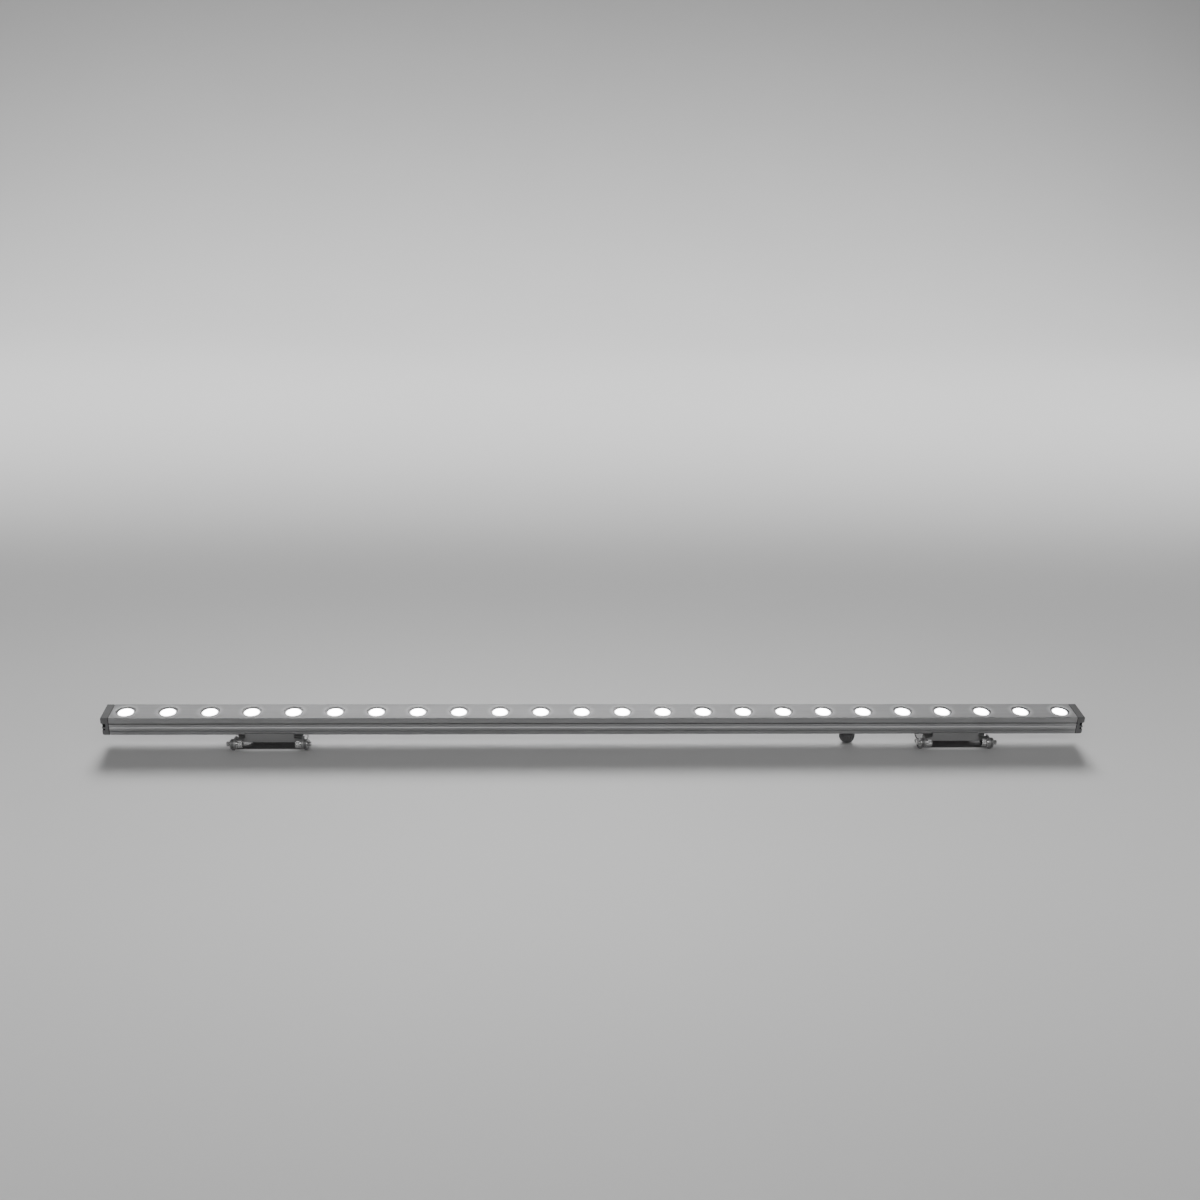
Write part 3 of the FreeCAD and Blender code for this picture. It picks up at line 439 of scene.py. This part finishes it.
def make_lens(name):
    """A frosted lens with a stepped rim, a crowned face and the cone that gathers the light."""
    low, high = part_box(name)
    middle = (low + high) / 2
    rim, depth = (high.x - low.x) / 2 / MM, (high.z - low.z) / MM
    crown, rim_depth, rim_width, segments = 1.4, 1.4, 0.85, 48
    ledge_drop, ledge_slope, chamfer, chamfer_depth = 0.12, 0.06, 0.12, 0.1
    cone_top, cone_end, cone_sag, well, well_depth = 6.8, 4.0, 0.7, 2.8, 2.6
    face_rows, cone_rows = 10, 6
    face, rim_low = rim - rim_width, -crown - rim_depth
    profile = [(-crown * (face * row / face_rows / rim) ** 2, face * row / face_rows)
               for row in range(face_rows + 1)]
    ledge = profile[-1][0] - ledge_drop
    profile += [(ledge, face + ledge_slope), (ledge, rim - chamfer), (ledge - chamfer_depth, rim),
                (rim_low, rim), (rim_low, cone_top)]
    for row in range(1, cone_rows + 1):
        part = row / cone_rows
        reach = cone_top - (cone_top - cone_end) * part - cone_sag * part * (1 - part)
        profile.append((rim_low - (depth + rim_low) * part, reach))
    profile += [(-depth, well), (-depth + well_depth, well), (-depth + well_depth, 0.0)]
    bm = bmesh.new()
    lathe(bm, profile, segments, Matrix.Identity(4))
    finish_piece(name + "_look", bm, name, Vector((middle.x, middle.y, high.z)))


def make_pivot_screws(side):
    """Two knurled socket screws, head inwards, with rolled threads that end in a chamfer."""
    node = "pivot_bolts_" + side
    low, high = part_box(node)
    middle = (low + high) / 2
    head, end = (high.z - low.z) / 2 / MM, (high.x - middle.x) / MM
    head_in, head_out, segments = 26.0, 31.0, 84
    knurl_in, knurl_length, knurl_rows, knurl_count, knurl_swing = 0.7, 3.5, 6, 28, 0.13
    flats, socket_depth, socket_cone, socket_lead, socket_mouth = 4.0, 2.5, 0.5, 0.25, 0.55
    shank, pitch, rows_per_turn = 2.5, 0.8, 8
    thread_depth, thread_gap, thread_end, thread_runout, tip = 0.3, 0.05, 0.9, 0.4, 0.5
    knurl_root = 2 * knurl_swing
    # Rounded edges: how far in from the end face, and how far below the full radius.
    inner_edge = [(0.0, 0.75), (0.12, 0.45), (0.45, knurl_root)]
    outer_edge = [(0.5, knurl_root), (0.0, 0.4)]
    tip_edge = [(0.45, 0.08), (0.15, 0.25), (0.0, 0.7)]

    def knurl(angle, height):
        return head - knurl_swing + knurl_swing * math.cos(knurl_count * angle)

    def hexagon(angle, height):
        sector = math.radians(60)
        return flats / 2 / math.cos(angle % sector - sector / 2)

    def thread(angle, height):
        turn = (height / pitch + angle / (2 * math.pi)) % 1.0
        fade = min(1.0, max(0.0, (end - thread_end - height) / thread_runout))
        return shank - thread_gap - thread_depth * fade * (1 - abs(2 * turn - 1))

    socket_end = head_in + socket_depth
    profile = [(socket_end + socket_cone, 0.0), (socket_end, hexagon), (head_in + socket_lead, hexagon),
               (head_in, flats / 2 + socket_mouth)]
    profile += [(head_in + inward, head - drop) for inward, drop in inner_edge]
    profile += [(head_in + knurl_in + knurl_length * row / knurl_rows, knurl)
                for row in range(knurl_rows + 1)]
    profile += [(head_out - inward, head - drop) for inward, drop in outer_edge]
    profile.append((head_out, shank))
    rows = int((end - head_out) / (pitch / rows_per_turn))
    heights = [head_out + (end - head_out) * row / rows for row in range(1, rows)]
    profile += [(height, thread) for height in heights if height < end - tip]
    profile += [(end - inward, shank - drop) for inward, drop in tip_edge]
    profile.append((end, 0.0))
    bm = bmesh.new()
    for sign in (-1, 1):
        turn = Matrix.Rotation(math.radians(90 * sign), 4, "Y")
        lathe(bm, profile, segments, Matrix.Translation(middle) @ turn)
    finish_piece("pivot_screws_" + side, bm, node)


def make_gland_nut():
    """The gland's domed nut, with grip ribs round its side and a rolled mouth."""
    low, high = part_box("gland_nut")
    middle = (low + high) / 2
    radius, tall = (high.x - low.x) / 2 / MM, (high.z - low.z) / MM
    bore, mouth, mouth_lip, lip_high, lip_end, mouth_depth, mouth_slope = 6.1, 3.7, 3.6, 0.35, 0.9, 2.4, 0.2
    segments = 128
    rib_count, rib_depth, rib_top, rib_length, rib_rows = 16, 0.55, 1.2, tall - 6.4, 8
    dome, dome_end, dome_inset = 4.2, 3.9, 0.45
    # The rounded top edge: how far down, and how far in from the full radius.
    top_edge = [(0.0, 0.9), (0.3, 0.55), (0.8, 0.3)]

    def ribs(angle, height):
        wave = math.cos(rib_count * angle)
        return radius - rib_depth * (0.5 - 0.5 * wave) ** 2

    profile = [(0.0, bore)]
    profile += [(-inward, radius - drop) for inward, drop in top_edge]
    profile += [(-rib_top - rib_length * row / rib_rows, ribs) for row in range(rib_rows + 1)]
    for turn in (math.radians(degrees) for degrees in range(10, 91, 10)):
        reach = dome_end + (radius - dome_inset - dome_end) * math.cos(turn)
        profile.append((-tall + dome - dome * math.sin(turn), reach))
    profile += [(-tall + lip_high, mouth_lip), (-tall + lip_end, mouth), (-tall + mouth_depth, mouth),
                (-tall + mouth_depth + mouth_slope, bore), (0.0, bore)]
    bm = bmesh.new()
    lathe(bm, profile, segments, Matrix.Translation(Vector((middle.x, middle.y, high.z))))
    bmesh.ops.remove_doubles(bm, verts=bm.verts, dist=1e-7)
    finish_piece("gland_dome_nut", bm, "gland_nut")


for lens in LENS_NAMES:
    make_lens(lens)
for hand in ("left", "right"):
    make_pivot_screws(hand)
make_gland_nut()


# ---------------------------------------------------------------- studio

def make_camera():
    """A long-ish lens a little left of the middle, looking down on the batten."""
    data = bpy.data.cameras.new("camera")
    camera = bpy.data.objects.new("camera", data)
    bpy.context.scene.collection.objects.link(camera)
    data.lens, data.sensor_width = 42.0, 36.0
    data.clip_start, data.clip_end = 0.01, 50.0
    distance, elevation, sideways = 1.4338, math.radians(29.721), -0.0872
    yaw, pitch, roll = math.radians(3.747), math.radians(25.135), math.radians(1.822)
    middle = middle_of("face_cover")
    target = Vector((middle.x, middle.y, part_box("face_cover")[1].z))
    back, above = distance * math.cos(elevation), distance * math.sin(elevation)
    camera.location = target + Vector((sideways, -back, above))
    forward = Vector((math.sin(yaw) * math.cos(pitch), math.cos(yaw) * math.cos(pitch), -math.sin(pitch)))
    level = Vector((forward.y, -forward.x, 0)).normalized()
    upward = level.cross(forward)
    across = level * math.cos(roll) + upward * math.sin(roll)
    aloft = upward * math.cos(roll) - level * math.sin(roll)
    camera.rotation_mode = "QUATERNION"
    camera.rotation_quaternion = Matrix((across, aloft, -forward)).transposed().to_quaternion()
    bpy.context.scene.camera = camera


def make_floor():
    """A wide pale sheet that curves up behind the object."""
    mesh = bpy.data.meshes.new("floor")
    bm = bmesh.new()
    front, bend, radius, height, width = -6.0, 1.6, 1.2, 4.0, 8.0
    line = [(front, 0.0), (bend, 0.0)]
    for angle in (math.radians(degrees) for degrees in range(5, 91, 5)):
        line.append((bend + radius * math.sin(angle), radius * (1 - math.cos(angle))))
    line.append((bend + radius, height))
    rows = [[bm.verts.new((x, y, z)) for x in (-width, width)] for y, z in line]
    for lower, upper in zip(rows, rows[1:]):
        bm.faces.new((lower[0], lower[1], upper[1], upper[0])).smooth = True
    bm.to_mesh(mesh)
    bm.free()
    mesh.materials.append(floor_material())
    floor = bpy.data.objects.new("floor", mesh)
    bpy.context.scene.collection.objects.link(floor)


def area_light(name, place, target, size, power, spread=180):
    """A soft rectangular light aimed at a point, with its spread in degrees."""
    data = bpy.data.lights.new(name, "AREA")
    data.shape = "RECTANGLE"
    data.size, data.size_y = size
    data.energy = power
    data.spread = math.radians(spread)
    light = bpy.data.objects.new(name, data)
    bpy.context.scene.collection.objects.link(light)
    light.location = place
    light.rotation_mode = "QUATERNION"
    light.rotation_quaternion = (Vector(target) - Vector(place)).to_track_quat("-Z", "Y")


def make_world(strength):
    """An even white surround."""
    world = bpy.data.worlds.new("studio")
    world.use_nodes = True
    background = world.node_tree.nodes["Background"]
    background.inputs["Color"].default_value = WHITE
    background.inputs["Strength"].default_value = strength
    bpy.context.scene.world = world


make_floor()
area_light("key_behind", place=(0, 0.80, 0.76), target=(0, -0.25, 0), size=(2.4, 0.56), power=5, spread=32)
area_light("wall_wash", place=(0, 0.7, 1.3), target=(0, 1.5, 0), size=(4.0, 0.9), power=42, spread=100)
area_light("front_strip", place=(0, -1.15, 1.2), target=(0, 0, 0), size=(2.8, 0.3), power=9)
make_world(0.14)
make_camera()
